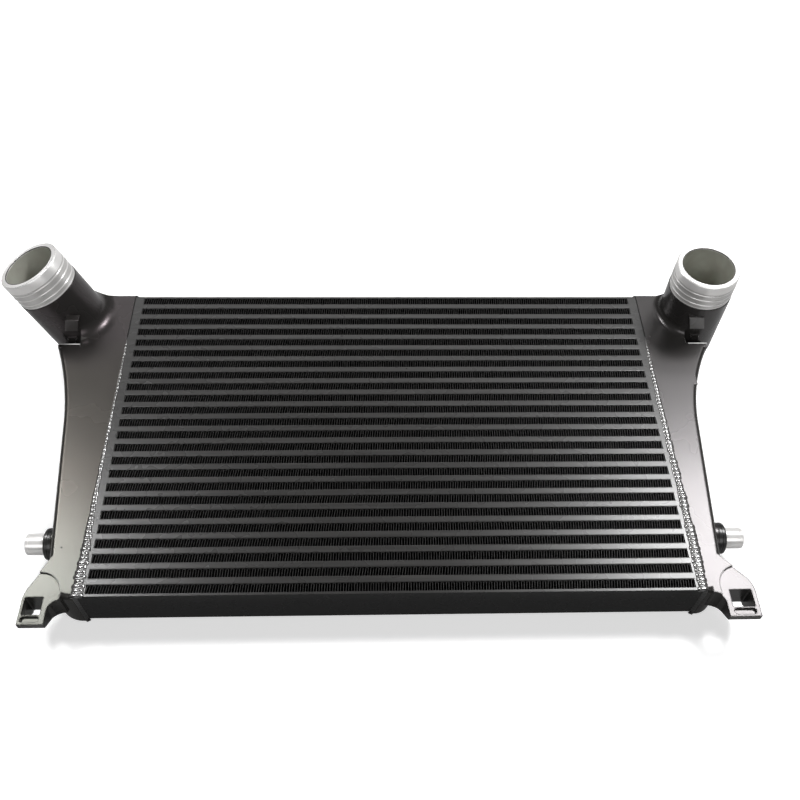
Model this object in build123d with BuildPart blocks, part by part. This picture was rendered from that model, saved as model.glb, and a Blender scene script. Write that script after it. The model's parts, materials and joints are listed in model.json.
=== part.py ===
"""Bar-and-plate charge air cooler with two cast end tanks, in millimetres.

The cooler lies on its back: +X runs across the core, +Y towards the hose necks and +Z out of the
front of the core. The origin is the middle of the back face of the core.
"""

import os
from collections import namedtuple
from math import hypot

from build123d import *

# Core
fin_face_width = 600.0
header_bar_width = 11.0
core_depth = 52.0
tube_count = 23
tube_height = 7.2
fin_height = 9.4
long_bar_depth = 6.0
parting_sheet = 0.6
turbulator_webs = 1
turbulator_thickness = 0.6
fin_walls = 20
fin_sheet = 0.5
fin_recess = 1.0
side_plate_thickness = 2.5

# End tanks
tank_wall = 4.0
tank_rim_step = 2.0
tank_back_step = 4.5
tank_edge_radius = 5.5
tank_back_chamfer = 3.0
waist_y = 6.0
ledge_y = 122.8
ledge_shoulder = 3.0

# Hose necks
neck_radius = 37.3
neck_bore_radius = 30.0
neck_base_radius = 34.5
neck_base_shift = 32.0
neck_depth = 40.0
blend_inset = 0.05
spigot_radius = 36.5
spigot_length = 35.0
mouth_chamfer = 1.0

# Clearance pocket beside each neck, and the cast pads on the flank of the neck
pocket_depth = 14.0
pad_lean = 0.3
pad_bottom = 14.0
pad_height = 19.0
pad_rise = 1.6
lower_pad_bottom = -9.0
lower_pad_width = 10.0
lower_pad_height = 11.0
lower_pad_rise = 1.0

# Mounting feet
foot_drop = 25.0
foot_lip_depth = 8.0
foot_root_depth = 30.0
foot_root_run = 11.0
foot_elbow_x = 4.5
foot_elbow_y = 15.0
foot_step = 2.5
foot_pad_radius = 22.8
foot_pad_x = 36.5
foot_pad_y = 5.8
window_height = 18.3
window_sill = 10.0
window_corner = 1.2
slot_height = 6.2
slot_sill = 2.4
slot_depth = 3.0

# Locating pegs
peg_y = -127.5
peg_radius = 11.0
peg_length = 20.3
peg_shank_radius = 8.0
peg_tail_length = 10.0
collar_radius = 16.5
collar_thickness = 8.5
collar_clearance = 0.2
boss_radius = 17.5
boss_depth = 16.0

# Weld beads
bead_on_core_top = 1.8
bead_on_core_bottom = 8.0
bead_on_tank_top = 1.8
bead_on_tank_bottom = 4.5
bead_rise_top = 0.9
bead_rise_bottom = 2.0
bead_leg = 4.0
back_bevel_depth = 1.0

# Worked out from the sizes above
core_height = tube_count * tube_height + (tube_count + 1) * fin_height + 2 * side_plate_thickness
row_pitch = tube_height + fin_height
half_width = fin_face_width / 2 + header_bar_width
rim_y = core_height / 2 + tank_rim_step
tank_depth = core_depth + tank_back_step
foot_tip_y = -rim_y - foot_drop

# What differs between the two tanks. x is measured outwards from the end of the core.
Tank = namedtuple(
    "Tank",
    "name sign corner_radius wall_foot wall_waist wall_ledge neck_x neck_y lean rise neck_length "
    "blend_radius pocket_x pad_x pad_width lower_pad_x foot_in foot_out shoulder_y window_in window_out "
    "boss_proud",
)
left_tank = Tank(
    name="left", sign=-1, corner_radius=28.0, wall_foot=30.0, wall_waist=51.0, wall_ledge=81.0,
    neck_x=69.5, neck_y=168.5, lean=0.378, rise=0.06, neck_length=84.8,
    blend_radius=20.0, pocket_x=53.0, pad_x=61.5, pad_width=15.0, lower_pad_x=67.0,
    foot_in=23.3, foot_out=48.7, shoulder_y=46.0, window_in=28.3, window_out=46.3, boss_proud=2.2,
)
right_tank = Tank(
    name="right", sign=1, corner_radius=20.0, wall_foot=21.0, wall_waist=38.0, wall_ledge=76.0,
    neck_x=63.0, neck_y=171.5, lean=0.0, rise=0.0, neck_length=80.0,
    blend_radius=9.0, pocket_x=48.0, pad_x=59.5, pad_width=17.5, lower_pad_x=63.5,
    foot_in=17.0, foot_out=48.7, shoulder_y=41.0, window_in=22.2, window_out=44.5, boss_proud=4.5,
)


def out_from_core(tank, reach):
    """The x of a point that lies a given distance out from the end of the core, on a tank's side."""
    return tank.sign * (half_width + reach)


def back_bevels():
    """The two bevels at the back of the core's ends, which the weld beads fill."""
    with BuildSketch() as bevels:
        for sign in (-1, 1):
            with BuildLine():
                Polyline(
                    (sign * half_width, 0),
                    (sign * (half_width - bead_leg), 0),
                    (sign * half_width, back_bevel_depth),
                    close=True,
                )
            make_face()
    return bevels.sketch


def charge_tube(number):
    """A charge-air passage: two long bars, two parting sheets and the webs of its turbulator."""
    y_middle = (number - (tube_count + 1) / 2) * row_pitch
    inner_depth = core_depth - 2 * long_bar_depth
    channel_depth = (inner_depth - turbulator_webs * turbulator_thickness) / (turbulator_webs + 1)
    channel_pitch = channel_depth + turbulator_thickness
    bevels = back_bevels()
    with BuildPart() as tube:
        with BuildSketch(Plane.YZ.offset(-half_width)):
            with Locations((y_middle, core_depth / 2)):
                Rectangle(tube_height, core_depth)
                with GridLocations(0, channel_pitch, 1, turbulator_webs + 1):
                    Rectangle(tube_height - 2 * parting_sheet, channel_depth, mode=Mode.SUBTRACT)
        extrude(amount=2 * half_width)
        with BuildSketch(Plane.XZ.offset(-y_middle)):
            add(bevels)
        extrude(amount=tube_height / 2, both=True, mode=Mode.SUBTRACT)
    return tube


def air_fin_row(number):
    """One folded fin with the two short header bars that close its ends."""
    y_middle = (number - (tube_count + 2) / 2) * row_pitch
    wall_run = fin_face_width / fin_walls
    sheet_rise = fin_sheet * hypot(1, fin_height / wall_run)
    crest = fin_height / 2
    over = []
    under = []
    for fold in range(fin_walls + 1):
        x = fold * wall_run - fin_face_width / 2
        if fold % 2:
            over.append((x, y_middle + crest))
            under.append((x, y_middle + crest - sheet_rise))
        else:
            over.append((x, y_middle - crest + sheet_rise))
            under.append((x, y_middle - crest))
    bevels = back_bevels()
    with BuildPart() as row:
        with BuildSketch(Plane.XY.offset(fin_recess)):
            with BuildLine():
                Polyline(*over, *reversed(under), close=True)
            make_face()
        extrude(amount=core_depth - 2 * fin_recess)
        with BuildSketch(Plane.XY):
            with Locations((0, y_middle)):
                with GridLocations(fin_face_width + header_bar_width, 0, 2, 1):
                    Rectangle(header_bar_width, fin_height)
        extrude(amount=core_depth)
        with BuildSketch(Plane.XZ.offset(-y_middle)):
            add(bevels)
        extrude(amount=fin_height / 2, both=True, mode=Mode.SUBTRACT)
    return row


def side_plate(sign):
    """The flat plate that closes the core at its top or bottom."""
    y_middle = sign * (core_height - side_plate_thickness) / 2
    bevels = back_bevels()
    with BuildPart() as plate:
        with BuildSketch(Plane.XY):
            with Locations((0, y_middle)):
                Rectangle(2 * half_width, side_plate_thickness)
        extrude(amount=core_depth)
        with BuildSketch(Plane.XZ.offset(-y_middle)):
            add(bevels)
        extrude(amount=side_plate_thickness / 2, both=True, mode=Mode.SUBTRACT)
    return plate


def neck_frame(tank):
    """The plane across a neck where its axis meets the front face of the tank."""
    upright = (1 - tank.lean**2 - tank.rise**2) ** 0.5
    axis = Vector(tank.sign * tank.lean, tank.rise, upright)
    foot = Vector(out_from_core(tank, tank.neck_x), tank.neck_y, core_depth)
    across = Vector(0, 1, 0).cross(axis).normalized()
    return Plane(origin=foot, x_dir=across, z_dir=axis)


def body_plan(tank, inset):
    """The outline of a tank up to its ledge, with its wall moved in by inset."""
    seam = out_from_core(tank, 0)
    rim = rim_y - inset
    radius = tank.corner_radius - inset
    corner_x = out_from_core(tank, tank.wall_foot - tank.corner_radius)
    foot_x = out_from_core(tank, tank.wall_foot - inset)
    waist_x = out_from_core(tank, tank.wall_waist - inset)
    ledge_x = out_from_core(tank, tank.wall_ledge - inset)
    with BuildSketch() as plan:
        with BuildLine():
            bottom = Line((seam, -rim), (corner_x, -rim))
            corner = TangentArc(bottom @ 1, (foot_x, radius - rim), tangent=(tank.sign, 0))
            wall = Line(corner @ 1, (waist_x, waist_y))
            flare = TangentArc(wall @ 1, (ledge_x, ledge_y), tangent=wall % 1)
            Polyline(flare @ 1, (seam, ledge_y), bottom @ 0)
        make_face()
    return plan.sketch


def neck_base_plan(tank, inset):
    """The outline of a tank above its ledge, where the neck stands, with its wall moved in by inset."""
    seam = out_from_core(tank, 0)
    middle = tank.neck_x - neck_base_shift * tank.lean
    middle_x = out_from_core(tank, middle)
    inner_x = out_from_core(tank, middle - neck_base_radius)
    wall_x = out_from_core(tank, tank.wall_ledge - ledge_shoulder - inset)
    low_y = ledge_y - 2 * ledge_shoulder - inset
    with BuildSketch() as plan:
        with BuildLine():
            Polyline(
                (seam, low_y),
                (wall_x, low_y),
                (wall_x, tank.neck_y),
                (middle_x, tank.neck_y + neck_base_radius - inset),
                (inner_x, rim_y - inset),
                (seam, rim_y - inset),
                close=True,
            )
        make_face()
        with Locations((middle_x, tank.neck_y)):
            Circle(neck_base_radius - inset)
    return plan.sketch


def neck_blend(tank):
    """The cast blend that runs from the front face of a tank up into its neck."""
    seam = out_from_core(tank, 0)
    pocket_x = out_from_core(tank, tank.pocket_x)
    neck_x = out_from_core(tank, tank.neck_x)
    neck_inner_x = out_from_core(tank, tank.neck_x - neck_radius)
    frame = neck_frame(tank)
    skirt = 3 * neck_radius
    stub_length = tank.neck_length - spigot_length
    with BuildPart() as blend:
        with BuildSketch(Plane.XY.offset(core_depth)):
            with Locations((frame.origin.X, frame.origin.Y)):
                Rectangle(2 * skirt, 2 * skirt)
        extrude(amount=-neck_radius)
        with BuildSketch(frame.offset(-neck_radius / 2)):
            Circle(neck_radius - blend_inset)
        extrude(amount=neck_radius / 2 + stub_length)
        root = blend.edges().filter_by(GeomType.LINE, reverse=True).sort_by(Axis.Z)[0]
        fillet(root, radius=tank.blend_radius)
        with BuildSketch(Plane.XY.offset(core_depth - tank_wall)):
            with BuildLine():
                Polyline(
                    (seam, tank.neck_y - skirt),
                    (pocket_x, tank.neck_y - skirt),
                    (pocket_x, tank.neck_y),
                    (neck_x, tank.neck_y),
                    (neck_x, tank.neck_y + neck_radius),
                    (neck_inner_x, rim_y),
                    (seam, rim_y),
                    close=True,
                )
            make_face()
        extrude(amount=tank_wall + stub_length, mode=Mode.INTERSECT)
    return blend


def mounting_foot(tank):
    """The cast foot below a tank, with its clip window, its locating slot and its lip."""
    shoulder = (out_from_core(tank, tank.wall_foot - tank_wall / 2), tank.shoulder_y - rim_y)
    elbow = (out_from_core(tank, tank.foot_out - foot_elbow_x), foot_elbow_y - rim_y)
    outer_x = out_from_core(tank, tank.foot_out)
    inner_x = out_from_core(tank, tank.foot_in)
    side = (outer_x, -rim_y)
    root = (out_from_core(tank, tank.foot_in - foot_root_run), -rim_y)
    knee = (inner_x, -rim_y - foot_root_run)
    with BuildPart() as foot:
        with BuildSketch(Plane.XY):
            with BuildLine():
                Line(shoulder, elbow)
                TangentArc(side, elbow, tangent=(0, 1))
                Polyline(side, (outer_x, foot_tip_y), (inner_x, foot_tip_y), knee)
                TangentArc(root, knee, tangent=(tank.sign, 0))
                Polyline(root, (root[0], shoulder[1]), shoulder)
            make_face()
        extrude(amount=core_depth)
        with BuildSketch(Plane.YZ.offset((outer_x + inner_x) / 2)):
            with BuildLine():
                Polyline(
                    (foot_tip_y, core_depth),
                    (foot_tip_y, core_depth - foot_step - foot_lip_depth),
                    (-rim_y, core_depth - foot_step - foot_root_depth),
                    (shoulder[1], core_depth - foot_step - foot_root_depth),
                    (shoulder[1], core_depth),
                    close=True,
                )
            make_face()
        extrude(amount=foot_pad_radius * 2, both=True, mode=Mode.INTERSECT)
    return foot


def end_tank(tank):
    """A cast end tank: hollow body, hose neck, clearance pocket, mounting foot and peg boss."""
    sign = tank.sign
    frame = neck_frame(tank)
    peg_seat = peg_seat_x(tank)
    body = body_plan(tank, 0)
    body_hollow = body_plan(tank, tank_wall)
    neck_base = neck_base_plan(tank, 0)
    neck_base_hollow = neck_base_plan(tank, tank_wall)
    blend = neck_blend(tank)
    foot = mounting_foot(tank)
    with BuildPart() as casting:
        with BuildSketch(Plane.XY.offset(-tank_back_step)):
            add(body)
        extrude(amount=tank_depth)
        outer_edges = casting.edges().filter_by(Plane.XY).filter_by(
            lambda edge: abs(edge.center().X) > half_width + 1 and edge.center().Y < ledge_y - 1
        )
        fillet(outer_edges.filter_by_position(Axis.Z, 0, core_depth), radius=tank_edge_radius)
        chamfer(outer_edges.filter_by_position(Axis.Z, -tank_back_step, 0), length=tank_back_chamfer)
        with BuildSketch(Plane.XY.offset(-tank_back_step)):
            add(neck_base)
        extrude(amount=tank_depth)
        add(blend.part)

        # Pocket between the ledge and the neck
        pocket_run = 2 * neck_radius
        pocket_y = (ledge_y + tank.neck_y) / 2
        with BuildSketch(Plane.XY.offset(core_depth - pocket_depth)):
            with Locations((out_from_core(tank, tank.pocket_x + pocket_run / 2), pocket_y)):
                Rectangle(pocket_run, tank.neck_y - ledge_y)
        extrude(amount=pocket_depth + 3 * tank.blend_radius, mode=Mode.SUBTRACT)

        # Neck with its machined spigot
        with BuildSketch(frame.offset(-neck_depth)):
            Circle(neck_radius)
        extrude(amount=neck_depth + tank.neck_length - spigot_length)
        with BuildSketch(frame.offset(tank.neck_length - spigot_length)):
            Circle(spigot_radius)
        extrude(amount=spigot_length)
        mouth = casting.edges().filter_by(GeomType.CIRCLE).sort_by(Axis(frame.origin, frame.z_dir))[-1]
        chamfer(mouth, length=mouth_chamfer)

        # Cast pads on the flank of the neck
        for middle, width, bottom, height, pad_proud in (
            (tank.pad_x, tank.pad_width, pad_bottom, pad_height, pad_rise),
            (tank.lower_pad_x, lower_pad_width, lower_pad_bottom, lower_pad_height, lower_pad_rise),
        ):
            flank_y = tank.neck_y - neck_radius - pad_proud
            low = core_depth + bottom
            near = out_from_core(tank, middle - width / 2)
            far = out_from_core(tank, middle + width / 2)
            shift = sign * pad_lean * height
            with BuildSketch(Plane.XZ.offset(-flank_y)):
                with BuildLine():
                    Polyline(
                        (near, low),
                        (far, low),
                        (far - shift, low + height),
                        (near - shift, low + height),
                        close=True,
                    )
                make_face()
            extrude(amount=-(neck_radius - neck_bore_radius + pad_proud))

        # Foot
        add(foot.part)
        window_middle = out_from_core(tank, (tank.window_in + tank.window_out) / 2)
        foot_pad_middle = out_from_core(tank, foot_pad_x)
        window_width = tank.window_out - tank.window_in
        with BuildSketch(Plane.XY.offset(core_depth - foot_step)):
            with Locations((foot_pad_middle, foot_pad_y - rim_y)):
                Circle(foot_pad_radius)
            with Locations((foot_pad_middle, foot_pad_y - rim_y - foot_drop)):
                Rectangle(2 * foot_pad_radius, 2 * foot_drop)
        extrude(amount=foot_step, mode=Mode.SUBTRACT)
        with BuildSketch(Plane.XY):
            with Locations((window_middle, foot_tip_y + window_sill + window_height / 2)):
                RectangleRounded(window_width, window_height, window_corner)
        extrude(amount=core_depth, mode=Mode.SUBTRACT)
        with BuildSketch(Plane.XY.offset(core_depth - foot_step)):
            with Locations((window_middle, foot_tip_y + slot_sill + slot_height / 2)):
                SlotOverall(window_width, slot_height)
        extrude(amount=-slot_depth, mode=Mode.SUBTRACT)

        # Hollow inside, open towards the core, and the bore of the neck
        pocket_floor_middle = out_from_core(tank, tank.pocket_x - tank_wall + pocket_run / 2)
        with BuildSketch(Plane.XY.offset(tank_wall - tank_back_step)):
            add(body_hollow)
            add(neck_base_hollow)
        extrude(amount=tank_depth - 2 * tank_wall - pocket_depth, mode=Mode.SUBTRACT)
        with BuildSketch(Plane.XY.offset(core_depth - tank_wall - pocket_depth)):
            add(body_hollow)
            add(neck_base_hollow)
            with Locations((pocket_floor_middle, pocket_y)):
                Rectangle(pocket_run, tank.neck_y - ledge_y + 2 * tank_wall, mode=Mode.SUBTRACT)
        extrude(amount=pocket_depth, mode=Mode.SUBTRACT)
        with BuildSketch(frame.offset(tank.neck_length)):
            Circle(neck_bore_radius)
        extrude(amount=-(tank.neck_length + neck_depth - tank_wall), mode=Mode.SUBTRACT)

        # Boss that carries the locating peg
        with BuildSketch(Plane.YZ.offset(peg_seat - sign * boss_depth)):
            with Locations((peg_y, core_depth / 2)):
                Circle(boss_radius)
        extrude(amount=sign * boss_depth)
        with BuildSketch(Plane.YZ.offset(peg_seat)):
            with Locations((peg_y, core_depth / 2)):
                Circle(peg_shank_radius)
        extrude(amount=-sign * peg_tail_length, mode=Mode.SUBTRACT)
    return casting


def peg_seat_x(tank):
    """The x of the flat seat of the locating peg."""
    share = (peg_y - tank.corner_radius + rim_y) / (waist_y - tank.corner_radius + rim_y)
    wall = tank.wall_foot + share * (tank.wall_waist - tank.wall_foot)
    return out_from_core(tank, wall + tank.boss_proud)


def peg_collar(tank):
    """The rubber collar that sits round the peg's shank, between its head and the boss."""
    with BuildPart() as collar:
        with BuildSketch(Plane.YZ.offset(peg_seat_x(tank))):
            with Locations((peg_y, core_depth / 2)):
                Circle(collar_radius)
                Circle(peg_shank_radius + collar_clearance, mode=Mode.SUBTRACT)
        extrude(amount=tank.sign * collar_thickness)
    return collar


def locating_peg(tank):
    """A turned peg: a head that locates the cooler, and a shank pressed into the boss of the tank."""
    shoulder = peg_seat_x(tank) + tank.sign * collar_thickness
    with BuildPart() as peg:
        with BuildSketch(Plane.YZ.offset(shoulder)):
            with Locations((peg_y, core_depth / 2)):
                Circle(peg_radius)
        extrude(amount=tank.sign * peg_length)
        with BuildSketch(Plane.YZ.offset(shoulder)):
            with Locations((peg_y, core_depth / 2)):
                Circle(peg_shank_radius)
        extrude(amount=-tank.sign * (collar_thickness + peg_tail_length))
    return peg


def weld_bead(tank):
    """The bead that runs round the joint between the core and a tank."""
    sign = tank.sign
    seam = out_from_core(tank, 0)
    edge = core_height / 2

    with BuildPart() as bead:
        for y, on_core, on_tank, rise in (
            (-rim_y, bead_on_core_bottom, bead_on_tank_bottom, bead_rise_bottom),
            (rim_y, bead_on_core_top, bead_on_tank_top, bead_rise_top),
        ):
            with BuildSketch(Plane.XZ.offset(-y)):
                with BuildLine():
                    Polyline(
                        (out_from_core(tank, -on_core), core_depth),
                        (out_from_core(tank, -on_core / 2), core_depth + rise),
                        (out_from_core(tank, on_tank / 2), core_depth + rise),
                        (out_from_core(tank, on_tank), core_depth),
                        close=True,
                    )
                make_face()
        loft()
        with BuildSketch(Plane.XZ.offset(-rim_y)):
            with BuildLine():
                Polyline(
                    (seam, back_bevel_depth),
                    (seam - sign * bead_leg, 0),
                    (seam, -tank_back_step),
                    close=True,
                )
            make_face()
        extrude(amount=2 * rim_y)
        for end in (-1, 1):
            with BuildSketch(Plane.XY.offset(-tank_back_step)):
                with BuildLine():
                    Polyline(
                        (seam, end * edge),
                        (seam - sign * bead_leg, end * edge),
                        (seam, end * rim_y),
                        close=True,
                    )
                make_face()
            extrude(amount=tank_depth + bead_rise_top)
    return bead


def write(built, name):
    built.part.label = name
    export_step(built.part, f"parts/{name}.step")


os.makedirs("parts", exist_ok=True)
for side_tank in (left_tank, right_tank):
    write(end_tank(side_tank), f"{side_tank.name}_end_tank")
    write(weld_bead(side_tank), f"{side_tank.name}_weld_bead")
    write(peg_collar(side_tank), f"{side_tank.name}_peg_collar")
    write(locating_peg(side_tank), f"{side_tank.name}_locating_peg")
for tube_number in range(1, tube_count + 1):
    write(charge_tube(tube_number), f"charge_tube_{tube_number:02d}")
for row_number in range(1, tube_count + 2):
    write(air_fin_row(row_number), f"air_fin_row_{row_number:02d}")
write(side_plate(-1), "bottom_side_plate")
write(side_plate(1), "top_side_plate")
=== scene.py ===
"""Looks of the intercooler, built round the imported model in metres.

The part lies on its back: X runs across the core, Y towards the hose necks, Z out of the core's front.
"""

import json
import math
import random

import bpy
from mathutils import Matrix, Vector


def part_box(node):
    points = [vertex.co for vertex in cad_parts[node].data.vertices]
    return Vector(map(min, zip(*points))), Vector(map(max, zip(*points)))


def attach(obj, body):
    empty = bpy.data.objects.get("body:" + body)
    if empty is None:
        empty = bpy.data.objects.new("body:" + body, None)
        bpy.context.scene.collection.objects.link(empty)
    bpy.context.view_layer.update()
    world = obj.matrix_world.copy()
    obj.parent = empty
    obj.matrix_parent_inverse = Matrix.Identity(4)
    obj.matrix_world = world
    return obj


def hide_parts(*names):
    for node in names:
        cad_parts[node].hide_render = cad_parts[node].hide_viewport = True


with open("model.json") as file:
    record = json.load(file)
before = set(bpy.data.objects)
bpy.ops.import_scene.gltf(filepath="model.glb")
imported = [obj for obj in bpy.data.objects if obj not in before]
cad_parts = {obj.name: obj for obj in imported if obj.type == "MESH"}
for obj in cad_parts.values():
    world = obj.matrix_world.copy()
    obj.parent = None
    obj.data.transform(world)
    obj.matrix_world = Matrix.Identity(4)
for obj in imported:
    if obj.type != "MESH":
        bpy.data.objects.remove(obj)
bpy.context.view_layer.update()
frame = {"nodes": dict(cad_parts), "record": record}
record = frame["record"]
nodes = frame["nodes"]
mounts = {mount["name"]: mount for mount in record["mounts"]}

MM = 0.001
SIDES = ("left", "right")
SIGN = {"left": -1, "right": 1}
tubes = sorted(name for name in nodes if name.startswith("charge_tube"))
fin_rows = sorted(name for name in nodes if name.startswith("air_fin_row"))

core_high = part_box("top_side_plate")[1]
half_width = core_high.x
core_front = core_high.z
core_top = core_high.y
header_bar = 11 * MM
fin_face_half = half_width - header_bar
rim_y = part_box("left_weld_bead")[1].y
tank_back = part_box("left_weld_bead")[0].z

# The bevel at the back of the core's ends, which the weld fills
bevel_leg = 4 * MM
bevel_depth = 1 * MM

# Places on the tanks where the coat's colour or gloss changes, and where painted highlights and painted
# shade lie
pad_end_left = 130.5 * MM
pad_end_right = 133.6 * MM
# Where the painted highlight along the ledge lies
ledge_highlight_y = 122.2 * MM
ledge_highlight_half = 0.75 * MM
pocket_end = 361.5 * MM
# A small spot painted nearly black as painted shade of a pit
pit_centre = Vector((-332.0, -145.0, 52.0)) * MM
pit_radius = 0.95 * MM
foot_zone_top = -150 * MM


def direction(azimuth, elevation):
    """The unit vector at two angles in degrees. Azimuth 0 is towards +Y, 90 towards +X."""
    azimuth = math.radians(azimuth)
    elevation = math.radians(elevation)
    return Vector(
        (
            math.sin(azimuth) * math.cos(elevation),
            math.cos(azimuth) * math.cos(elevation),
            math.sin(elevation),
        )
    )


# ---------------------------------------------------------------- camera

picture_width_px = 800
focal_length_px = 889.3
sensor_width = 36.0
camera_azimuth = 183.17
camera_elevation = 53.15
camera_roll = math.radians(2.32)
camera_target = Vector((11.4, 37.9, 52)) * MM
camera_distance = 1011.6 * MM

camera_data = bpy.data.cameras.new("camera")
camera = bpy.data.objects.new("camera", camera_data)
bpy.context.scene.collection.objects.link(camera)
bpy.context.scene.camera = camera
camera_data.sensor_width = sensor_width
camera_data.lens = focal_length_px / picture_width_px * sensor_width
camera_data.clip_start = 0.02
camera_data.clip_end = 60
away = direction(camera_azimuth, camera_elevation)
level_right = Vector((0, 0, 1)).cross(away).normalized()
level_up = away.cross(level_right)
camera_right = math.cos(camera_roll) * level_right + math.sin(camera_roll) * level_up
camera_up = away.cross(camera_right)
turn = Matrix((camera_right, camera_up, away)).transposed().to_4x4()
camera.matrix_world = Matrix.Translation(camera_target + away * camera_distance) @ turn


# ---------------------------------------------------------------- materials


class Nodes:
    """A small helper that adds nodes to one material and joins them."""

    def __init__(self, name):
        self.material = bpy.data.materials.new(name)
        self.material.use_nodes = True
        self.tree = self.material.node_tree
        self.shader = self.tree.nodes["Principled BSDF"]
        geometry = self.add("ShaderNodeNewGeometry")
        self.position = geometry.outputs["Position"]
        self.true_normal = geometry.outputs["True Normal"]

    def add(self, kind, **values):
        """A new node with some of its properties set."""
        node = self.tree.nodes.new(kind)
        for key, value in values.items():
            setattr(node, key, value)
        return node

    def put(self, value, socket):
        """Joins another node's output to a socket, or sets the socket to a constant."""
        if isinstance(value, bpy.types.NodeSocket):
            self.tree.links.new(value, socket)
        else:
            socket.default_value = value

    def math(self, operation, *values):
        """The result of a sum on numbers."""
        node = self.add("ShaderNodeMath", operation=operation)
        for value, socket in zip(values, node.inputs):
            self.put(value, socket)
        return node.outputs[0]

    def above(self, value, limit):
        """1 where the value is over the limit, 0 elsewhere."""
        return self.math("GREATER_THAN", value, limit)

    def below(self, value, limit):
        """1 where the value is under the limit, 0 elsewhere."""
        return self.math("LESS_THAN", value, limit)

    def product(self, first, *others):
        """Several masks or shares multiplied."""
        for other in others:
            first = self.math("MULTIPLY", first, other)
        return first

    def vector(self, operation, first, second):
        """The result of a sum on two vectors, which is a number for DOT_PRODUCT and DISTANCE."""
        node = self.add("ShaderNodeVectorMath", operation=operation)
        self.put(first, node.inputs[0])
        self.put(second, node.inputs[1])
        gives_number = operation in ("DOT_PRODUCT", "DISTANCE")
        return node.outputs["Value" if gives_number else "Vector"]

    def length(self, vector):
        """The length of a vector."""
        node = self.add("ShaderNodeVectorMath", operation="LENGTH")
        self.put(vector, node.inputs[0])
        return node.outputs["Value"]

    def axis(self, name, vector=None):
        """X, Y or Z of the position in the world, or of another vector."""
        node = self.add("ShaderNodeSeparateXYZ")
        self.put(self.position if vector is None else vector, node.inputs[0])
        return node.outputs[name]

    def noise(self, scale, detail, place=None):
        """Noise between 0 and 1, by the position in the world or another place."""
        node = self.add("ShaderNodeTexNoise")
        node.inputs["Scale"].default_value = scale
        node.inputs["Detail"].default_value = detail
        self.put(self.position if place is None else place, node.inputs["Vector"])
        return node.outputs["Fac"]

    def spread(self, value, low, high, to_low=0.0, to_high=1.0):
        """Takes one range of numbers to another and holds the value beyond its ends."""
        node = self.add("ShaderNodeMapRange")
        self.put(value, node.inputs["Value"])
        node.inputs["From Min"].default_value = low
        node.inputs["From Max"].default_value = high
        node.inputs["To Min"].default_value = to_low
        node.inputs["To Max"].default_value = to_high
        return node.outputs["Result"]

    def blend(self, share, first, second):
        """A colour between two others."""
        node = self.add("ShaderNodeMix", data_type="RGBA")
        self.put(share, node.inputs[0])
        self.put(first, node.inputs[6])
        self.put(second, node.inputs[7])
        return node.outputs[2]

    def bump(self, height, distance, strength, after=None):
        """A normal tilted by a height, on top of an earlier normal if one is given."""
        node = self.add("ShaderNodeBump")
        node.inputs["Strength"].default_value = strength
        node.inputs["Distance"].default_value = distance
        self.put(height, node.inputs["Height"])
        if after is not None:
            self.put(after, node.inputs["Normal"])
        return node.outputs["Normal"]

    def finish(self, **values):
        """Sets or joins the shader's sockets and hands over the material."""
        for key, value in values.items():
            self.put(value, self.shader.inputs[key.replace("_", " ")])
        return self.material


def grey(level, warmth=0.0):
    """A grey, made redder by a small warmth."""
    return (level * (1 + warmth), level, level * (1 - warmth), 1)


def glare_tint(m, on_right):
    """The colour of the glare on the tanks: faint pink, and on the left one ochre and olive further down."""
    ragged = m.spread(m.noise(9, 2), 0.3, 0.7, -40 * MM, 40 * MM)
    upper = m.spread(m.math("ADD", m.axis("Y"), ragged), 60 * MM, 150 * MM)
    lower = m.spread(m.axis("Y"), -60 * MM, -170 * MM)
    left = m.blend(lower, (1, 0.92, 0.82, 1), (0.98, 0.99, 0.89, 1))
    left = m.blend(upper, left, (1, 0.86, 0.91, 1))
    return m.blend(on_right, left, (1, 0.955, 0.97, 1))


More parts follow.
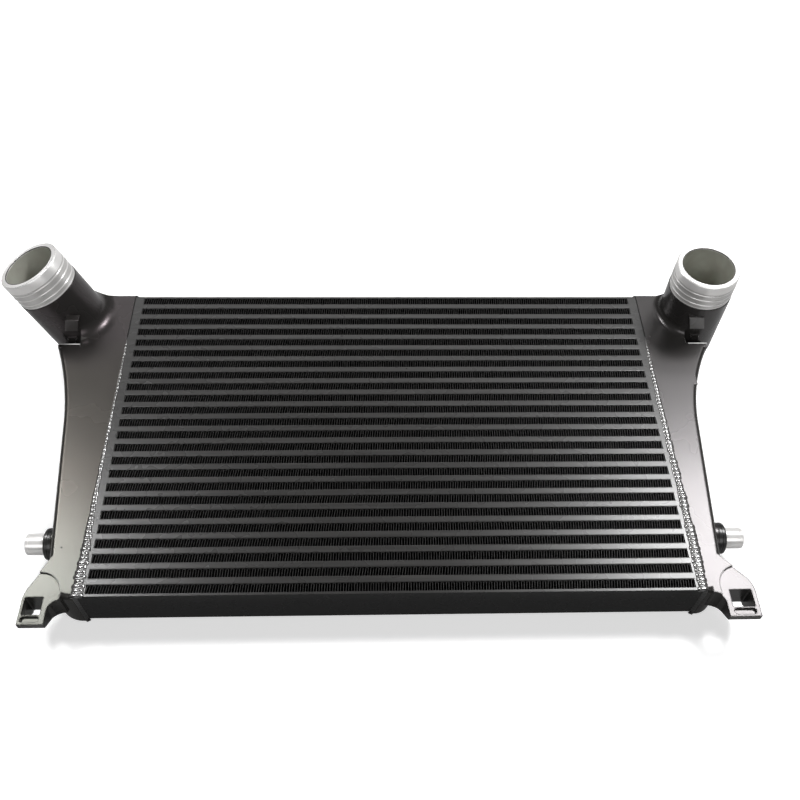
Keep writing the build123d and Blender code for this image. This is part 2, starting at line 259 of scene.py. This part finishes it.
def cast_coat():
    """Satin black coat over cast aluminium: softened edges, slight orange peel, faint patches of gloss."""
    m = Nodes("cast_coat")
    on_right = m.above(m.axis("X"), 0.0)
    patches = m.spread(m.noise(14, 3), 0.25, 0.75)
    colour = m.blend(patches, grey(0.017, 0.05), grey(0.023, 0.06))

    # Painted reflection: the cast pads on the flanks of the necks are painted lighter, more on the right,
    # for the light they reflect
    pad_end = m.spread(on_right, 0.0, 1.0, pad_end_left, pad_end_right)
    lit_pad = m.product(m.above(m.axis("Z"), core_front + 2 * MM), m.below(m.axis("Y"), pad_end))
    colour = m.blend(lit_pad, colour, m.blend(on_right, grey(0.06, 0.04), grey(0.16, 0.02)))

    # Painted highlight: the edges of the front are painted lighter, broken up by noise, for the light their
    # rounded edges catch
    soft_edges = m.add("ShaderNodeBevel", samples=4)
    soft_edges.inputs["Radius"].default_value = 1.5 * MM
    soft_normal = soft_edges.outputs["Normal"]
    edge = m.spread(m.vector("DOT_PRODUCT", soft_normal, m.true_normal), 0.985, 0.90)
    near_front = m.spread(m.axis("Z"), core_front - 2.5 * MM, core_front - 1.5 * MM)
    at_front = m.product(near_front, m.below(m.axis("Z"), core_front + 0.3 * MM))
    uneven = m.spread(m.noise(120, 2), 0.3, 0.6, 0.3, 1.0)
    colour = m.blend(m.product(edge, at_front, uneven), colour, grey(0.30, 0.02))

    # Painted highlight: a bright line along the ledge, outside the pocket
    from_ledge = m.math("ABSOLUTE", m.math("SUBTRACT", m.axis("Y"), ledge_highlight_y))
    beside_pocket = m.above(m.math("ABSOLUTE", m.axis("X")), pocket_end)
    ledge = m.product(m.below(from_ledge, ledge_highlight_half), beside_pocket, at_front)
    colour = m.blend(ledge, colour, grey(0.85, 0.01))

    # Painted shade: a small spot near the left peg is painted nearly black for the shade in a pit
    clear_of_pit = m.above(m.vector("DISTANCE", m.position, pit_centre), pit_radius)
    colour = m.blend(clear_of_pit, grey(0.002), colour)

    # Less gloss under the feet, and none in the pit
    downward = m.below(m.axis("Y", m.true_normal), -0.6)
    under_foot = m.product(downward, m.below(m.axis("Y"), foot_zone_top))
    gloss = m.product(
        m.spread(clear_of_pit, 0.0, 1.0, 0.0, 0.5),
        m.spread(under_foot, 0.0, 1.0, 1.0, 0.35),
    )
    normal = m.bump(m.noise(1100, 2), 0.015 * MM, 0.3, after=soft_normal)
    normal = m.bump(m.noise(30, 2), 0.06 * MM, 0.3, after=normal)
    rough = m.spread(m.noise(25, 2), 0.2, 0.8, 0.26, 0.28)
    return m.finish(
        Base_Color=colour, Roughness=rough, Normal=normal, IOR=1.5,
        Specular_IOR_Level=gloss, Specular_Tint=glare_tint(m, on_right),
    )


def bar_coat():
    """Satin black coat over extruded bar, with fine marks along the bar. It is matt in the air passages,
    where the bar faces are painted near black as painted shade, and the outer faces of the side plates are
    painted darker and duller as painted shade.
    """
    m = Nodes("bar_coat")
    along = m.noise(300, 2, m.vector("MULTIPLY", m.position, (0.04, 1, 1)))
    bare = m.blend(m.spread(along, 0.4, 0.7), grey(0.02, 0.03), grey(0.03, 0.03))
    behind_front = m.below(m.axis("Z"), core_front - 0.6 * MM)
    sideways = m.above(m.math("ABSOLUTE", m.axis("Y", m.true_normal)), 0.7)
    between_plates = m.below(m.math("ABSOLUTE", m.axis("Y")), core_top - 1.0 * MM)
    # Painted shade: the bar faces inside the air passages are painted near black and matt
    shaded_passage = m.product(behind_front, sideways, between_plates)
    # Painted shade: the outer faces of the side plates are painted darker and made duller
    shaded_plate_face = m.product(sideways, m.math("SUBTRACT", 1.0, between_plates))
    colour = m.blend(shaded_passage, m.blend(shaded_plate_face, bare, grey(0.016)), grey(0.002))
    matt = m.math("MAXIMUM", shaded_passage, m.product(shaded_plate_face, 0.84))
    gloss = m.spread(matt, 0.0, 1.0, 0.5, 0.0)
    normal = m.bump(along, 0.012 * MM, 0.3)
    normal = m.bump(m.noise(1200, 2), 0.012 * MM, 0.2, after=normal)
    rough = m.spread(m.noise(40, 2), 0.3, 0.7, 0.265, 0.285)
    return m.finish(
        Base_Color=colour, Roughness=rough, Normal=normal, IOR=1.5, Specular_IOR_Level=gloss
    )


def fin_coat():
    """Thin black coat on fin sheet, lighter on the raw front and back edges. Away from its edges the sheet
    is painted near black and matt as painted shade inside the core.
    """
    m = Nodes("fin_coat")
    depth = m.axis("Z")
    front = m.spread(depth, core_front - 1.35 * MM, core_front - 1.05 * MM)
    back = m.spread(depth, 1.35 * MM, 1.05 * MM)
    edge = m.math("MAXIMUM", front, back)
    lighter_edge = m.product(edge, m.spread(m.noise(260, 2), 0.35, 0.6, 0.35, 1.0))
    # Painted shade: away from its edges the sheet is painted near black
    colour = m.blend(lighter_edge, grey(0.002), grey(0.036, 0.03))
    normal = m.bump(m.noise(700, 2), 0.04 * MM, 0.3)
    gloss = m.spread(edge, 0.0, 1.0, 0.0, 0.3)
    return m.finish(
        Base_Color=colour, Roughness=0.5, Normal=normal, IOR=1.5, Specular_IOR_Level=gloss
    )


def weld_coat():
    """Glossy coat over the weld, so the ripples sparkle. It is dark and matt where the bead is thin, and
    painted dark and matt as painted shade where the beads run past the ends of the core.
    """
    m = Nodes("weld_coat")
    colour = m.blend(m.noise(200, 2), grey(0.045, 0.04), grey(0.07, 0.04))
    thin = m.spread(m.axis("Y"), 122 * MM, 134 * MM)
    # Painted shade: where the beads run past the ends of the core they are painted dark and matt
    at_end = m.above(m.math("ABSOLUTE", m.axis("Y")), core_top + 0.15 * MM)
    thin = m.math("MAXIMUM", thin, m.product(at_end, 0.85))
    colour = m.blend(thin, colour, grey(0.004))
    fading = m.spread(m.axis("Y"), -20 * MM, 120 * MM, 0.5, 0.27)
    gloss = m.product(fading, m.spread(thin, 0.0, 1.0, 1.0, 0.1))
    normal = m.bump(m.noise(900, 2), 0.02 * MM, 0.3)
    return m.finish(
        Base_Color=colour, Roughness=0.26, Normal=normal, IOR=2.9, Specular_IOR_Level=gloss
    )


def turned_aluminium(name, base, axis, ridged=None):
    """Bare turned aluminium with fine rings round the axis, with painted shade darkening the valleys between
    ridges.

    Where the ridges are is given as a start and an end along the axis, and the radius of their crests.
    """
    m = Nodes(name)
    from_base = m.vector("SUBTRACT", m.position, base)
    along = m.vector("DOT_PRODUCT", from_base, axis)
    radius = m.length(m.vector("CROSS_PRODUCT", from_base, axis))
    ring_place = m.add("ShaderNodeCombineXYZ")
    m.put(along, ring_place.inputs["X"])
    m.put(radius, ring_place.inputs["Y"])
    rings = m.noise(2600, 3, ring_place.outputs[0])
    stain = m.spread(m.noise(70, 4), 0.25, 0.8)
    colour = m.blend(stain, grey(0.96, 0.01), grey(0.88, 0.02))
    if ridged:
        start, end, crest = ridged
        zone = m.product(m.above(along, start), m.below(along, end))
        # Painted shade: the valleys between the ridges are painted darker
        valley = m.product(zone, m.spread(radius, crest, crest - 0.25 * MM), 0.5)
        colour = m.blend(valley, colour, grey(0.34, 0.03))
    lay = m.add("ShaderNodeCombineXYZ")
    for value, socket in zip(axis, lay.inputs):
        socket.default_value = value
    return m.finish(
        Base_Color=colour, Metallic=0.45, Roughness=m.spread(rings, 0.3, 0.7, 0.30, 0.40),
        Normal=m.bump(rings, 0.003 * MM, 0.4), Anisotropic=0.8, Tangent=lay.outputs[0],
    )


def bore_aluminium():
    """Dull bare metal inside the necks."""
    m = Nodes("bore_aluminium")
    stain = m.spread(m.noise(60, 3), 0.35, 0.7)
    colour = m.blend(stain, (0.50, 0.51, 0.45, 1), (0.44, 0.43, 0.38, 1))
    normal = m.bump(m.noise(500, 3), 0.05 * MM, 0.4)
    return m.finish(Base_Color=colour, Metallic=0.5, Roughness=0.55, Normal=normal)


def rubber():
    """Smooth black moulded rubber."""
    m = Nodes("rubber")
    colour = m.blend(m.noise(120, 3), grey(0.012), grey(0.022))
    normal = m.bump(m.noise(900, 3), 0.03 * MM, 0.4)
    return m.finish(Base_Color=colour, Roughness=0.3, Normal=normal, IOR=1.5)


cast_coat_material = cast_coat()
bar_coat_material = bar_coat()
fin_coat_material = fin_coat()
weld_coat_material = weld_coat()
rubber_material = rubber()
bore_material = bore_aluminium()


def paint(node_name, material):
    """Gives a CAD node its finished material."""
    slots = nodes[node_name].data.materials
    if len(slots) == 0:
        slots.append(material)
    for index in range(len(slots)):
        slots[index] = material


# ---------------------------------------------------------------- mesh pieces


def piece(name, vertices, faces, material, replaced=(), smooth=False):
    """A mesh piece that rides on the body, with its material and the nodes it stands for."""
    mesh = bpy.data.meshes.new(name)
    mesh.from_pydata(vertices, [], faces)
    mesh.materials.append(material)
    if smooth:
        mesh.shade_smooth()
    mesh.validate()
    made = bpy.data.objects.new(name, mesh)
    bpy.context.scene.collection.objects.link(made)
    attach(made, "root")
    if replaced:
        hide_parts(*replaced)
    return made


def sweep(sections, ring=False):
    """Vertices and faces of a solid through sections, which are closed loops of equal length.

    The first and last sections are its ends, or join each other where it is a ring.
    """
    count = len(sections[0])
    vertices = [point for section in sections for point in section]
    faces = []
    steps = len(sections) if ring else len(sections) - 1
    for step in range(steps):
        here = step * count
        there = ((step + 1) % len(sections)) * count
        for index in range(count):
            follow = (index + 1) % count
            faces.append((here + index, here + follow, there + follow, there + index))
    if not ring:
        faces.append(tuple(reversed(range(count))))
        faces.append(tuple(range(len(vertices) - count, len(vertices))))
    return vertices, faces


def turned(name, profile, base, axis, material, replaced=(), segments=96):
    """A piece turned about an axis. The profile is a closed loop of (along, radius) in metres."""
    sharp_from = math.radians(28)
    axis = Vector(axis).normalized()
    side = axis.orthogonal().normalized()
    other = axis.cross(side)
    sections = []
    for index in range(segments):
        angle = 2 * math.pi * index / segments
        out = side * math.cos(angle) + other * math.sin(angle)
        sections.append([Vector(base) + axis * along + out * radius for along, radius in profile])
    vertices, faces = sweep(sections, ring=True)
    made = piece(name, vertices, faces, material, replaced)
    made.data.shade_smooth()
    with bpy.context.temp_override(object=made, selected_editable_objects=[made]):
        bpy.ops.object.shade_smooth_by_angle(angle=sharp_from)


def arc(centre_along, centre_radius, radius, start, end, steps):
    """Points of a rounded corner in a turned profile, angles in degrees."""
    points = []
    for step in range(steps + 1):
        angle = math.radians(start + (end - start) * step / steps)
        points.append((centre_along + radius * math.cos(angle), centre_radius + radius * math.sin(angle)))
    return points


# ---------------------------------------------------------------- core


def bevel_cut(x, z):
    """Moves a back corner of the core's end up to the bevel that the weld fills."""
    outwards = abs(x) - (half_width - bevel_leg)
    if outwards > 0 and z < bevel_depth:
        return max(z, bevel_depth * outwards / bevel_leg)
    return z


def bar_profile(low, high, front, beside_fin):
    """Cross-section in Y and Z of a charge tube. Beside the fins its sheet edges are rounded."""
    sheet = 0.6 * MM
    inset = (0.2 if beside_fin else 0.01) * MM
    groove = (0.06 if beside_fin else 0.0) * MM
    shoulder = front - (0.35 if beside_fin else 0.06) * MM
    groove_end = low + sheet + 0.12 * MM
    face_start = low + sheet + 0.34 * MM
    up = [
        (low, 0.0 + inset),
        (low, shoulder),
        (low + inset, front - groove),
        (low + sheet, front - groove / 3),
        (groove_end, front - groove),
        (face_start, front),
    ]
    middle = (low + high) / 2
    down = [(2 * middle - y, z) for y, z in reversed(up)]
    return up + down + [(high - inset, 0.0), (low + inset, 0.0)]


def bar_stations():
    """Places along a bar where its section changes, with how far its front is cut back there."""
    seam_groove = 0.35 * MM
    near = [
        (fin_face_half, 0.0),
        (fin_face_half + 0.3 * MM, 0.0),
        (half_width - bevel_leg, 0.0),
        (half_width - seam_groove, 0.0),
        (half_width, seam_groove),
    ]
    return [(-x, dip) for x, dip in reversed(near)] + near


def charge_tube(name):
    """The visible part of a charge tube: one long bar with its two sheet edges."""
    low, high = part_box(name)
    sections = []
    for x, dip in bar_stations():
        beside_fin = abs(x) < fin_face_half + 0.1 * MM
        profile = bar_profile(low.y, high.y, core_front, beside_fin)
        sections.append([(x, y, min(bevel_cut(x, z), core_front - dip)) for y, z in profile])
    vertices, faces = sweep(sections)
    piece(f"{name}_bar", vertices, faces, bar_coat_material, [name])


def fin_section(low, high, chance):
    """Centre line in X and Y of a densely folded fin: leaning walls between flat crests."""
    pitch = 2.66 * MM
    bend = 0.3 * MM
    sheet = 0.22 * MM
    end_gap = 0.6 * MM
    mean_lean = 0.32
    lean_swing = 0.22
    swing_per_wall = 0.035
    phase = chance.uniform(0, 6.28)
    count = int((2 * fin_face_half - 2 * end_gap) / pitch)
    start = -count * pitch / 2
    points = []
    drift = 0.0
    for index in range(count + 1):
        drift = 0.7 * drift + chance.uniform(-0.13, 0.13) * MM
        x = start + index * pitch + drift
        lean = (mean_lean + lean_swing * math.sin(index * swing_per_wall + phase)) * MM
        lean += chance.uniform(-0.12, 0.12) * MM
        turns = -1 if index % 2 else 1
        wall = [
            (x - lean - turns * bend, low + sheet),
            (x - lean, low + sheet + bend),
            (x + lean, high - sheet - bend),
            (x + lean + turns * bend, high - sheet),
        ]
        points += reversed(wall) if index % 2 else wall
    return points


def ribbon(points, thickness):
    """A sheet of the given thickness on both sides of a line in X and Y."""
    over = []
    under = []
    for index, (x, y) in enumerate(points):
        before = Vector(points[max(index - 1, 0)])
        after = Vector(points[min(index + 1, len(points) - 1)])
        along = (after - before).normalized()
        across = Vector((-along.y, along.x)) * thickness / 2
        over.append((x + across.x, y + across.y))
        under.append((x - across.x, y - across.y))
    return over, under


def fin_row(name, number):
    """One densely folded fin with the two header bars that close its ends."""
    recess = 1.0 * MM
    thickness = 0.38 * MM
    low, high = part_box(name)
    points = fin_section(low.y, high.y, random.Random(100 + number))
    over, under = ribbon(points, thickness)
    vertices = [(x, y, z) for z in (core_front - recess, recess) for x, y in over + under]
    count = len(points)
    faces = []
    for i in range(count - 1):
        j = i + 1
        faces.append((i, j, 2 * count + j, 2 * count + i))
        faces.append((count + j, count + i, 3 * count + i, 3 * count + j))
        faces.append((i, count + i, count + j, j))
        faces.append((2 * count + j, 3 * count + j, 3 * count + i, 2 * count + i))
    piece(f"{name}_fin", vertices, faces, fin_coat_material, [name])
    header_bars(name, low.y, high.y)


def header_bars(name, low, high):
    """The two short bars beside a fin, a hair behind the faces of the long ones."""
    behind = 0.02 * MM
    seam_groove = 0.35 * MM
    for side in SIDES:
        sign = SIGN[side]
        inner = sign * fin_face_half
        outer = sign * half_width
        sections = []
        for x, dip in (
            (inner, behind),
            (inner + sign * behind, 0.0),
            (outer - sign * bevel_leg, 0.0),
            (outer - sign * seam_groove, 0.0),
            (outer, seam_groove),
        ):
            front = core_front - dip - behind
            back = bevel_cut(x, 0)
            loop = [
                (x, low, back),
                (x, low, front),
                (x, low + behind, front),
                (x, high - behind, front),
                (x, high, front),
                (x, high, back),
            ]
            sections.append(loop)
        vertices, faces = sweep(sections)
        piece(f"{name}_{side}_header", vertices, faces, bar_coat_material)


# ---------------------------------------------------------------- weld beads

bead_step = 0.45 * MM
ripple_pitch = 5.0 * MM

# Rows of Y, how far the front bead reaches onto the core and onto the tank, and its rise, in millimetres
BEAD_FRONT = {
    "left": (
        (-200, 10.4, 3.2, 2.2), (-170, 8.8, 2.4, 2.1), (-142, 8.6, 1.6, 2.1), (-125, 5.8, 1.4, 1.7),
        (-75, 4.2, 1.0, 1.4), (-25, 3.0, 0.6, 1.2), (60, 2.5, 0.3, 1.0), (118, 1.8, 0.5, 0.85),
        (132, 0.9, 0.6, 0.2), (200, 0.8, 0.6, 0.15),
    ),
    "right": (
        (-200, 10.4, 1.6, 2.2), (-165, 9.0, 2.4, 2.1), (-90, 7.4, 2.2, 1.9), (-50, 6.9, 1.3, 1.7),
        (0, 6.0, 0.6, 1.5), (60, 4.6, 0.4, 1.2), (108, 3.0, 0.5, 0.9),
        (126, 0.9, 0.6, 0.2), (200, 0.8, 0.6, 0.15),
    ),
}


def between(table, y):
    """Reads a table in millimetres at one Y in metres, with straight runs between its rows."""
    y = y / MM
    if y <= table[0][0]:
        return [value * MM for value in table[0][1:]]
    for before, after in zip(table, table[1:]):
        if y <= after[0]:
            share = (y - before[0]) / (after[0] - before[0])
            return [(a + share * (b - a)) * MM for a, b in zip(before[1:], after[1:])]
    return [value * MM for value in table[-1][1:]]


def ripples(place, strength):
    """How deep the valley between two weld ripples is, across the bead at one place along it."""
    backward_curve = 0.3
    flatness = 0.45

    def depth(t):
        phase = (place / ripple_pitch + backward_curve * t * t) % 1.0
        return strength * (1 - math.sin(math.pi * phase) ** flatness)

    return depth


def weld_surface(name, stations, replaced=()):
    """A rippled weld. Each station is (origin, across, out, width, rise, ripple, root)."""
    steps = 12
    narrowing = 0.2
    sections = []
    for origin, across, out, width, rise, ripple, root in stations:
        half = width / 2 * (1 - narrowing * ripple(0))
        loop = []
        for step in range(steps + 1):
            t = 2 * step / steps - 1
            crown = max(0.0, 1 - abs(t) ** 3)
            height = rise * crown * (1 - ripple(t))
            loop.append(origin + across * (t * half) + out * height)
        loop.append(root)
        sections.append(loop)
    vertices, faces = sweep(sections)
    piece(name, vertices, faces, weld_coat_material, replaced, smooth=True)


def bead_places():
    """The Y of each section of a bead that runs from the bottom of a tank to its top."""
    count = int(2 * rim_y / bead_step)
    return [-rim_y + index * 2 * rim_y / count for index in range(count + 1)]


def front_bead(side):
    """The bead on the front. Each ripple has its own sway, width and height, and the thin top has none."""
    full_rise = 0.8 * MM
    ripple_depth = 0.8
    surface = core_front - 0.02 * MM
    root_level = core_front - 0.5 * MM
    across = Vector((-1, 0, 0))
    out = Vector((0, 0, 1))
    sign = SIGN[side]
    seam = sign * half_width
    chance = random.Random(side)
    stations = []
    ripple_number = None
    for y in bead_places():
        on_core, on_tank, rise = between(BEAD_FRONT[side], y)
        # Counted from 1 m below the middle, so that no number is negative
        number = int((y + 1) / ripple_pitch)
        if number != ripple_number:
            ripple_number = number
            sway = chance.uniform(-0.3, 0.3) * MM
            swell = chance.uniform(0.82, 1.12)
            crest = chance.uniform(0.8, 1.1)
        live = min(1.0, rise / full_rise) ** 2
        middle = seam + sign * ((on_tank - on_core) / 2 + sway * live)
        width = (on_core + on_tank) * (swell if live > 0.9 else 1.0)
        origin = Vector((middle, y, surface))
        root = Vector((middle, y, root_level))
        ripple = ripples(-y, ripple_depth * live)
        stations.append((origin, across, out, width, rise * crest, ripple, root))
    weld_surface(f"{side}_weld_front", stations, [f"{side}_weld_bead"])


def back_bead(side):
    """The bead on the back, between the core's bevel and the tank's back edge."""
    rise = 0.35 * MM
    ripple_depth = 0.5
    sign = SIGN[side]
    seam = sign * half_width
    inner = Vector((seam - sign * bevel_leg, 0, 0))
    outer = Vector((seam, 0, tank_back))
    run = outer - inner
    across = run.normalized() * (-sign)
    out = Vector((-sign * run.z, 0, sign * run.x)).normalized()
    out = out if out.z < 0 else -out
    stations = []
    for y in bead_places():
        origin = (inner + outer) / 2 + Vector((0, y, 0))
        root = Vector((seam, y, bevel_depth))
        stations.append((origin, across, out, run.length, rise, ripples(y, ripple_depth), root))
    weld_surface(f"{side}_weld_back", stations)


def end_bead(side, end):
    """The bead at the bottom (end -1) or the top (end 1), from the back to a little over the front."""
    rise = 0.3 * MM
    ripple_depth = 0.5
    over_front = 0.6 * MM
    sign = SIGN[side]
    seam = sign * half_width
    low = Vector((seam - sign * bevel_leg, end * core_top, 0))
    high = Vector((seam, end * rim_y, 0))
    run = high - low
    slope = run.normalized()
    across = slope if sign * end > 0 else -slope
    out = Vector((-sign * abs(slope.y), end * abs(slope.x), 0)).normalized()
    height = core_front + over_front - tank_back
    steps = int(height / bead_step)
    stations = []
    for index in range(steps + 1):
        z = tank_back + height * index / steps
        origin = (low + high) / 2 + Vector((0, 0, z))
        root = Vector((seam, end * core_top, z))
        stations.append((origin, across, out, run.length, rise, ripples(z, ripple_depth), root))
    label = "top" if end > 0 else "bottom"
    weld_surface(f"{side}_weld_{label}", stations)


def weld_bead(side):
    """The bead round the joint between the core and one tank: front, back and both ends."""
    front_bead(side)
    back_bead(side)
    for end in (-1, 1):
        end_bead(side, end)


# ---------------------------------------------------------------- turned pieces


def spigot_profile(radius, bore):
    """Half-section of a spigot's skin with three ridges, from the neck to the mouth and into the bore."""
    neck_end = -35 * MM
    skin = radius + 0.06 * MM
    crest = radius + 0.55 * MM
    crest_half = 0.2 * MM
    flank_half = 0.55 * MM
    ridge_half = 1.1 * MM
    profile = [(neck_end, radius - 0.3 * MM), (neck_end, skin - 0.02 * MM), (-34.7 * MM, skin)]
    for ridge in (-29.0, -21.5, -14.0):
        centre = ridge * MM
        profile += [
            (centre - ridge_half, skin),
            (centre - flank_half, crest - 0.05 * MM),
            (centre - crest_half, crest),
            (centre + crest_half, crest),
            (centre + flank_half, crest - 0.05 * MM),
            (centre + ridge_half, skin),
        ]
    return profile + [
        (-1.15 * MM, skin),
        (-0.75 * MM, skin - 0.2 * MM),
        (-0.1 * MM, radius - 0.9 * MM),
        (0.06 * MM, radius - 1.2 * MM),
        (0.06 * MM, bore + 0.9 * MM),
        (-0.3 * MM, bore + 0.3 * MM),
        (-1.5 * MM, bore),
        (-1.5 * MM, bore + 0.1 * MM),
        (-1.2 * MM, bore + 0.6 * MM),
        (-1.6 * MM, radius - 1.2 * MM),
    ]


def spigot(side):
    """The bright turned spigot with three fine ridges, and the bare bore behind its mouth."""
    mouth_chamfer_mm = 1
    bore = 29.85 * MM
    bore_start = -1.4 * MM
    bore_end = -90 * MM
    lining = 0.12 * MM
    mount = mounts[f"{side}_hose_spigot"]
    axis = Vector(mount["axis"])
    radius = mount["dims"]["r_mm"] * MM
    mouth = Vector(mount["pos_m"]) + axis * (mount["dims"]["length_mm"] / 2 + mouth_chamfer_mm) * MM
    ridged = (-33 * MM, -11 * MM, radius + 0.35 * MM)
    material = turned_aluminium(f"{side}_spigot_aluminium", mouth, axis, ridged)
    profile = spigot_profile(radius, bore)
    turned(f"{side}_spigot", profile, mouth, axis, material, segments=128)
    profile = [(bore_start, bore), (bore_end, bore), (bore_end, bore + lining), (bore_start, bore + lining)]
    turned(f"{side}_bore", profile, mouth, axis, bore_material, segments=128)


def peg_profile(radius, length, shank, tail):
    """Half-section of a peg: pressed-in tail, head with a narrow groove, and a rounded, dimpled end."""
    corner = 0.5 * MM
    nose = 1.6 * MM
    groove = 0.35 * MM
    profile = [(-tail, 0.0), (-tail, shank), (-0.0, shank), (0.0, radius - corner)]
    profile += arc(corner, radius - corner, corner, 180, 90, 3)
    profile += [
        (length - 4.6 * MM, radius),
        (length - 4.4 * MM, radius - groove),
        (length - 3.8 * MM, radius - groove),
        (length - 3.6 * MM, radius),
    ]
    profile += arc(length - nose, radius - nose, nose, 90, 20, 5)
    return profile + [
        (length, radius - 2.2 * MM),
        (length, 4.2 * MM),
        (length - 1.4 * MM, 2.4 * MM),
        (length - 1.6 * MM, 0.0),
    ]


def collar_profile(inner, outer, thickness, peg_radius):
    """Half-section of a rubber collar with a shallow groove round it and a dished face under the head."""
    back_round = 1.0 * MM
    front_round = 1.8 * MM
    groove = 0.5 * MM
    profile = [(-thickness, inner)]
    profile += arc(-thickness + back_round, outer - back_round, back_round, 180, 90, 4)
    profile += [
        (-thickness * 0.62, outer),
        (-thickness * 0.58, outer - groove),
        (-thickness * 0.5, outer - groove),
        (-thickness * 0.46, outer),
    ]
    profile += arc(-front_round, outer - front_round, front_round, 90, 0, 6)
    return profile + [
        (0.0, peg_radius + 1.6 * MM),
        (-0.5 * MM, peg_radius + 0.6 * MM),
        (-0.02 * MM, peg_radius - 0.4 * MM),
        (-0.02 * MM, inner),
    ]


def peg_and_collar(side):
    """The turned peg and the rubber collar round its shank."""
    shank = 8 * MM
    collar_clearance = 0.2 * MM
    tail_in_boss = 10 * MM
    mount = mounts[f"{side}_locating_peg"]
    axis = Vector(mount["axis"])
    radius = mount["dims"]["r_mm"] * MM
    length = mount["dims"]["length_mm"] * MM
    shoulder = Vector(mount["pos_m"]) - axis * length / 2
    low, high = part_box(f"{side}_peg_collar")
    thickness = high.x - low.x
    collar_radius = (high.y - low.y) / 2

    node = f"{side}_locating_peg"
    material = turned_aluminium(f"{side}_peg_aluminium", shoulder, axis)
    profile = peg_profile(radius, length, shank, thickness + tail_in_boss)
    turned(f"{node}_turned", profile, shoulder, axis, material, [node])

    node = f"{side}_peg_collar"
    profile = collar_profile(shank + collar_clearance, collar_radius, thickness, radius)
    turned(f"{node}_moulded", profile, shoulder, axis, rubber_material, [node])


for tube_name in tubes:
    charge_tube(tube_name)
for row_number, row_name in enumerate(fin_rows):
    fin_row(row_name, row_number)
for each_side in SIDES:
    weld_bead(each_side)
    spigot(each_side)
    peg_and_collar(each_side)
    paint(f"{each_side}_end_tank", cast_coat_material)
for plate_name in ("top_side_plate", "bottom_side_plate"):
    paint(plate_name, bar_coat_material)


# ---------------------------------------------------------------- floor and light


def floor():
    """A plain pale floor that grows white to the camera further off. Reflections see it darker."""
    m = Nodes("floor")
    rays = m.add("ShaderNodeLightPath")
    seen = rays.outputs["Is Camera Ray"]
    unseen_colour = m.blend(rays.outputs["Is Glossy Ray"], grey(0.15), grey(0.5))
    glow = m.spread(m.length(m.position), 0.8, 1.9, 0.36, 1.0)
    m.finish(
        Base_Color=m.blend(seen, unseen_colour, grey(0.98)), Roughness=0.9, Specular_IOR_Level=0.1,
        Emission_Color=grey(1.0), Emission_Strength=m.product(seen, glow),
    )
    half = 8
    corners = [(-half, -half, 0), (half, -half, 0), (half, half, 0), (-half, half, 0)]
    mesh = bpy.data.meshes.new("floor")
    mesh.from_pydata(corners, [], [(0, 1, 2, 3)])
    mesh.materials.append(m.material)
    made = bpy.data.objects.new("floor", mesh)
    made.location.z = tank_back - 0.1 * MM
    bpy.context.scene.collection.objects.link(made)


def softbox(name, azimuth, elevation, width, height, radiance):
    """A rectangular soft light that faces the core."""
    distance = 3.0
    towards = direction(azimuth, elevation)
    data = bpy.data.lights.new(name, "AREA")
    data.shape = "RECTANGLE"
    data.size = width
    data.size_y = height
    data.energy = radiance * math.pi * width * height
    light = bpy.data.objects.new(name, data)
    light.location = towards * distance
    light.rotation_euler = towards.to_track_quat("Z", "Y").to_euler()
    bpy.context.scene.collection.objects.link(light)


def studio_world():
    """Weak grey surroundings that the camera sees as white."""
    world = bpy.data.worlds.new("studio")
    bpy.context.scene.world = world
    world.use_nodes = True
    tree = world.node_tree
    background = tree.nodes["Background"]
    path = tree.nodes.new("ShaderNodeLightPath")
    shade = tree.nodes.new("ShaderNodeMix")
    shade.data_type = "RGBA"
    shade.inputs[6].default_value = grey(0.06)
    shade.inputs[7].default_value = grey(1.0)
    tree.links.new(path.outputs["Is Camera Ray"], shade.inputs[0])
    tree.links.new(shade.outputs[2], background.inputs["Color"])
    background.inputs["Strength"].default_value = 1.0


floor()
softbox("right_key", azimuth=53.4, elevation=54.4, width=0.80, height=0.48, radiance=53.0)
softbox("left_key", azimuth=-54.0, elevation=52.0, width=0.40, height=0.85, radiance=39.0)
softbox("back_strip", azimuth=12, elevation=46, width=4.0, height=0.4, radiance=2.7)
softbox("front_panel", azimuth=180, elevation=42, width=3.2, height=1.4, radiance=3.0)
studio_world()
bpy.context.scene.view_settings.view_transform = "Standard"
